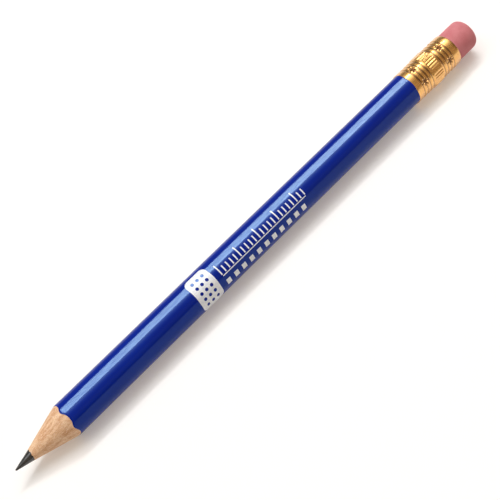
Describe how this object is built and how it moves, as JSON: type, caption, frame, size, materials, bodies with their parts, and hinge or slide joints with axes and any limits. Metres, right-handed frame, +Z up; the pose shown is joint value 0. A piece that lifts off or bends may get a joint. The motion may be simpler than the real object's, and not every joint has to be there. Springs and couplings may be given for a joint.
{
  "type": "pencil stub",
  "caption": "Part-used wooden pencil lying on its side: sharpened six-sided lacquered barrel with a round eraser in a fluted brass ferrule.",
  "frame": {"origin": "middle of the footprint, on the surface that the pencil lies on", "axes": "+X along the pencil from the writing tip to the eraser, +Z up, one flat of the barrel facing straight down"},
  "size_m": [0.127, 0.0074, 0.0075],
  "materials": {
    "graphite": "fired graphite and clay, satin, with fine sharpening streaks",
    "wood": "bare sharpened cedar, fine straight grain, matt",
    "lacquer": "glossy royal blue lacquer",
    "imprint": "thin hot-stamped white foil",
    "brass": "thin pressed sheet, polished and lacquered",
    "eraser_rubber": "soft matt pink rubber"
  },
  "bodies": {
    "root": {"lead": "graphite", "upper_casing": "wood", "lower_casing": "wood", "lacquer_coat": "lacquer", "ferrule": "brass", "eraser": "eraser_rubber"}
  },
  "joints": []
}
